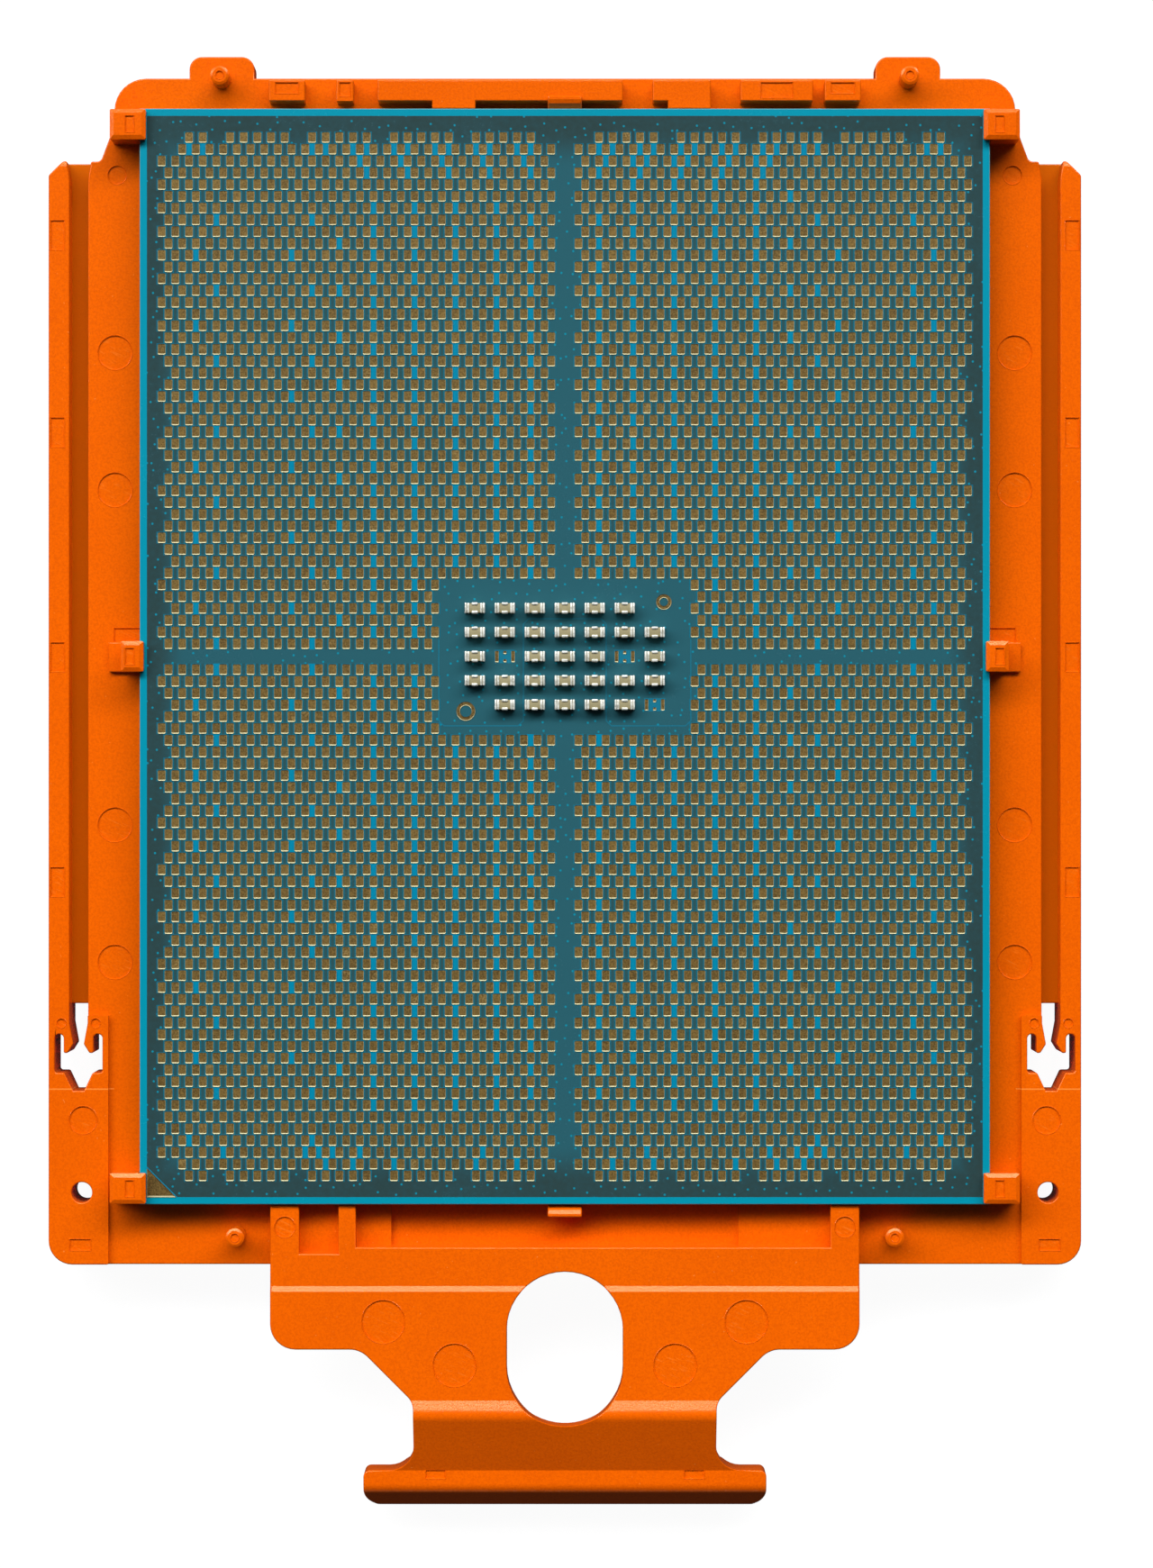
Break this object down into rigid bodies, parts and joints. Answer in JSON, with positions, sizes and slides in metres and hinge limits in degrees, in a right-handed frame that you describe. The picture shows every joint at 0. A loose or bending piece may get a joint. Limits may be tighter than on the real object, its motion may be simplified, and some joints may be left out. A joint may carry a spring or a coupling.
{
  "type": "computer processor",
  "caption": "Flat land-grid processor package with a plated metal lid, held by clips in an orange moulded carrier frame that has side rails, pegs and a pull handle.",
  "frame": {"origin": "centre of the lid's outer face, which a cooler presses on", "axes": "+Z from the lid's outer face towards the contact lands, +Y away from the pull handle, +X to the right seen from the contact side"},
  "size_m": [0.0714, 0.1005, 0.007],
  "materials": {
    "carrier_plastic": "satin",
    "laminate": "semi-gloss",
    "gold": "satin plating",
    "ceramic": "matte",
    "lid_metal": "plated satin",
    "adhesive": "matte",
    "silicon": "polished",
    "solder": "satin",
    "underfill": "glossy"
  },
  "bodies": {
    "root": {"carrier_frame": "carrier_plastic", "substrate": "laminate", "heat_spreader": "lid_metal", "lid_adhesive": "adhesive", "die_side_capacitors": "ceramic", "contact_lands_upper_left": "gold", "contact_lands_upper_right": "gold", "contact_lands_lower_left": "gold", "contact_lands_lower_right": "gold", "corner_mark": "gold", "fiducial_rings": "gold", "spare_footprint_pads": "gold", "capacitor_01": "ceramic", "capacitor_02": "ceramic", "capacitor_03": "ceramic", "capacitor_04": "ceramic", "capacitor_05": "ceramic", "capacitor_06": "ceramic", "capacitor_07": "ceramic", "capacitor_08": "ceramic", "capacitor_09": "ceramic", "capacitor_10": "ceramic", "capacitor_11": "ceramic", "capacitor_12": "ceramic", "capacitor_13": "ceramic", "capacitor_14": "ceramic", "capacitor_15": "ceramic", "capacitor_16": "ceramic", "capacitor_17": "ceramic", "capacitor_18": "ceramic", "capacitor_19": "ceramic", "capacitor_20": "ceramic", "capacitor_21": "ceramic", "capacitor_22": "ceramic", "capacitor_23": "ceramic", "capacitor_24": "ceramic", "capacitor_25": "ceramic", "capacitor_26": "ceramic", "capacitor_27": "ceramic", "capacitor_28": "ceramic", "capacitor_29": "ceramic", "capacitor_30": "ceramic", "io_die": "silicon", "compute_die_1": "silicon", "compute_die_2": "silicon", "compute_die_3": "silicon", "compute_die_4": "silicon", "io_die_solder": "solder", "compute_die_solder_1": "solder", "compute_die_solder_2": "solder", "compute_die_solder_3": "solder", "compute_die_solder_4": "solder", "io_die_underfill": "underfill", "compute_die_underfill_1": "underfill", "compute_die_underfill_2": "underfill", "compute_die_underfill_3": "underfill", "compute_die_underfill_4": "underfill"}
  },
  "joints": []
}
